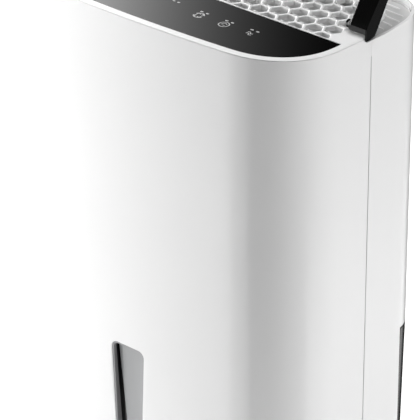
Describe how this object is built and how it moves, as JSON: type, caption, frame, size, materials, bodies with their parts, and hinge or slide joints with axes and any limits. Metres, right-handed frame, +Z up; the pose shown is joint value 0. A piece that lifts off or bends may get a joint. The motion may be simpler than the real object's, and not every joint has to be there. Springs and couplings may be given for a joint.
{
  "type": "dehumidifier",
  "caption": "Tower dehumidifier with a bowed white cabinet, glossy touch panel, honeycomb air outlet, folding carry handle, water-level window and a rear pull-out tank.",
  "frame": {"origin": "on the floor under the centre of the cabinet", "axes": "+Z up, -Y towards the front with the water-level window, +X to the right seen from the front"},
  "size_m": [0.354, 0.185, 0.5737],
  "materials": {
    "white_gloss": "smooth moulded gloss",
    "white_satin": "fine satin moulding",
    "panel_black": "polished acrylic touch panel with pale grey icons",
    "handle_black": "semi-gloss moulding",
    "tank_face_black": "gloss moulding",
    "black_satin": "fine grained moulding",
    "hinge_pin": "bright pin",
    "window_bezel": "satin grey moulding",
    "window_lens": "smoked translucent lens with a black printed edge",
    "tank_clear": "smoked translucent moulding",
    "rubber": "matt moulded rubber",
    "filter_frame": "fine mesh in a satin frame",
    "enamel": "semi-gloss black enamel",
    "aluminium": "mill finish",
    "steel": "zinc plated",
    "copper": "drawn copper tube, slightly dulled",
    "circuit_board": "green solder mask"
  },
  "bodies": {
    "housing": {"front_shell": "white_gloss", "rear_shell": "white_gloss", "top_cover": "white_gloss", "outlet_vanes": "white_satin", "control_panel": "panel_black", "control_board": "circuit_board", "hinge_bracket_left": "handle_black", "hinge_bracket_right": "handle_black", "hinge_pin_left": "hinge_pin", "hinge_pin_right": "hinge_pin", "window_frame": "window_bezel", "level_window": "window_lens", "base_pan": "black_satin", "foot_1": "rubber", "foot_2": "rubber", "foot_3": "rubber", "foot_4": "rubber", "chassis": "white_satin", "compressor": "enamel", "compressor_mount_1": "rubber", "compressor_mount_2": "rubber", "compressor_mount_3": "rubber", "evaporator": "aluminium", "condenser": "aluminium", "drip_tray": "white_satin", "fan_housing": "white_satin", "inlet_ring": "white_satin", "fan_motor": "steel", "suction_pipe": "copper", "discharge_pipe": "copper", "filter_drier": "copper", "control_box": "black_satin", "main_board": "circuit_board", "run_capacitor": "aluminium", "humidity_sensor": "white_satin", "cord_gland": "rubber"},
    "handle": {"carry_handle": "handle_black"},
    "impeller": {"fan_impeller": "filter_frame"},
    "filter_panel": {"rear_intake": "white_gloss", "filter_mesh": "filter_frame"},
    "tank": {"tank_bucket": "tank_clear", "tank_face": "tank_face_black", "tank_lid": "white_satin"},
    "float": {"tank_float": "white_satin"},
    "drain_plug": {"drain_plug": "rubber"}
  },
  "joints": [
    {"name": "handle_fold", "type": "hinge", "parent": "housing", "child": "handle", "pos_m": [0, 0.0107, 0.5054], "axis": [1, 0, 0], "range_deg": [-59.5, 30.5]},
    {"name": "fan_spin", "type": "hinge", "parent": "housing", "child": "impeller", "pos_m": [0.058, 0, 0.345], "axis": [0, 1, 0], "continuous": true},
    {"name": "filter_panel_pull", "type": "slide", "parent": "housing", "child": "filter_panel", "axis": [0, 1, 0], "range_m": [0, 0.08]},
    {"name": "tank_pull", "type": "slide", "parent": "housing", "child": "tank", "axis": [0, 1, 0], "range_m": [0, 0.22]},
    {"name": "float_lift", "type": "hinge", "parent": "tank", "child": "float", "pos_m": [-0.1038, -0.03, 0.1834], "axis": [0, -1, 0], "range_deg": [0, 12]},
    {"name": "drain_plug_pull", "type": "slide", "parent": "housing", "child": "drain_plug", "axis": [-1, 0, 0], "range_m": [0, 0.03]}
  ]
}
